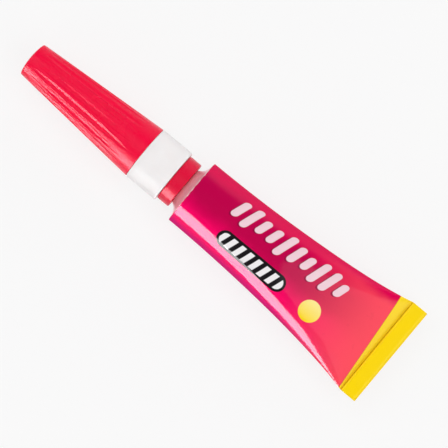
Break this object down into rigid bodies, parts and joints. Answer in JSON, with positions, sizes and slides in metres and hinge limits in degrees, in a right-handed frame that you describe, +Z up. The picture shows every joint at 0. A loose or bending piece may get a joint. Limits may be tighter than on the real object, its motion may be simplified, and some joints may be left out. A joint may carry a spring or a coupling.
{
  "type": "super glue tube",
  "caption": "Small crimped aluminium adhesive tube with a screw-on spout, a spacer ring and a fluted conical cap, for dispensing drops of instant glue.",
  "frame": {"origin": "on the table, under the middle of the length and of the width, with the tube lying on its side", "axes": "+X along the tube's axis towards the cap, +Y across the flat tail, +Z up, square to the flat tail"},
  "size_m": [0.0712, 0.0172, 0.011],
  "materials": {
    "printed_aluminium": "gloss",
    "seal_film": "satin",
    "adhesive": "gloss",
    "red_plastic": "gloss",
    "white_plastic": "satin",
    "steel_wire": "polished"
  },
  "bodies": {
    "tube": {"tube_shell": "printed_aluminium", "tail_seal": "seal_film", "adhesive_fill": "adhesive"},
    "spacer_ring": {"safety_ring": "red_plastic"},
    "nozzle": {"nozzle": "white_plastic"},
    "pin": {"cap_pin": "steel_wire"},
    "cap": {"cap": "red_plastic"}
  },
  "joints": [
    {"name": "nozzle_rise", "type": "slide", "parent": "tube", "child": "spacer_ring", "axis": [1, 0, 0], "range_m": [0, 0.008]},
    {"name": "nozzle_twist", "type": "hinge", "parent": "spacer_ring", "child": "nozzle", "pos_m": [0, 0, 0.0055], "axis": [1, 0, 0], "range_deg": [0, 2880.01]},
    {"name": "cap_lift", "type": "slide", "parent": "nozzle", "child": "pin", "axis": [1, 0, 0], "range_m": [0, 0.036]},
    {"name": "cap_twist", "type": "hinge", "parent": "pin", "child": "cap", "pos_m": [0, 0, 0.0055], "axis": [1, 0, 0], "range_deg": [0, 8640.01]}
  ],
  "couplings": [
    {"joint": "nozzle_twist", "follows": "nozzle_rise", "rad_per_m": 6283.2},
    {"joint": "cap_twist", "follows": "cap_lift", "rad_per_m": 4188.8}
  ]
}
